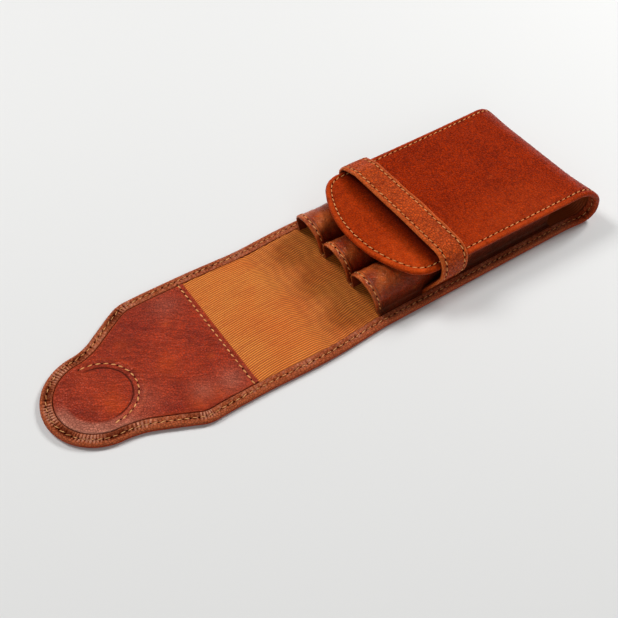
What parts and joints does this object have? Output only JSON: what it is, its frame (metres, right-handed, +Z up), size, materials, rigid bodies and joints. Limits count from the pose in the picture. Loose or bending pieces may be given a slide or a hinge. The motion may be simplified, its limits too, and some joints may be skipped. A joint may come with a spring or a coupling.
{
  "type": "pen case",
  "caption": "Slim leather flap case: sewn sleeves on a lined back, a folded front cover held by a strap, and a two-fold tongue that tucks under the strap.",
  "frame": {"origin": "middle of the underside of the open case, on the surface that it lies on", "axes": "+X along the case from the tongue's tip to the bend, +Y across it, +Z up"},
  "size_m": [0.256, 0.0749, 0.0265],
  "materials": {
    "cover_leather": "smooth waxed calf, soft sheen",
    "facing_leather": "smooth leather with fine wrinkles",
    "sleeve_leather": "thin polished leather",
    "strap_leather": "smooth leather with turned edges",
    "lining_leather": "split leather",
    "lining_cloth": "fine ribbed cloth",
    "board": "matt",
    "stay_felt": "matt",
    "disc": "matt",
    "thread": "twisted waxed thread"
  },
  "bodies": {
    "case_body": {"outer_leather_body": "cover_leather", "lining_body": "lining_cloth", "back_board": "board", "cover_board": "board", "bend_stay": "stay_felt", "sleeve_panel": "sleeve_leather", "strap_leather": "strap_leather", "strap_lining": "lining_leather", "rim_thread_body": "thread", "hem_thread": "thread", "gutter_thread": "thread", "strap_thread": "thread"},
    "flap_spine": {"outer_leather_spine": "cover_leather", "lining_spine": "lining_cloth", "spine_stay": "stay_felt", "rim_thread_spine": "thread"},
    "flap_tongue": {"outer_leather_tongue": "cover_leather", "lining_tongue": "lining_cloth", "tongue_facing": "facing_leather", "tongue_board": "board", "tongue_disc": "disc", "rim_thread_tongue": "thread", "facing_thread": "thread", "crescent_thread": "thread"}
  },
  "joints": [
    {"name": "flap_fold", "type": "hinge", "parent": "case_body", "child": "flap_spine", "pos_m": [-0.01805, 0, 0.0026], "axis": [0, 1, 0], "range_deg": [0, 90]},
    {"name": "tongue_fold", "type": "hinge", "parent": "flap_spine", "child": "flap_tongue", "pos_m": [-0.03695, 0, 0.0026], "axis": [0, 1, 0], "range_deg": [0, 90]}
  ]
}
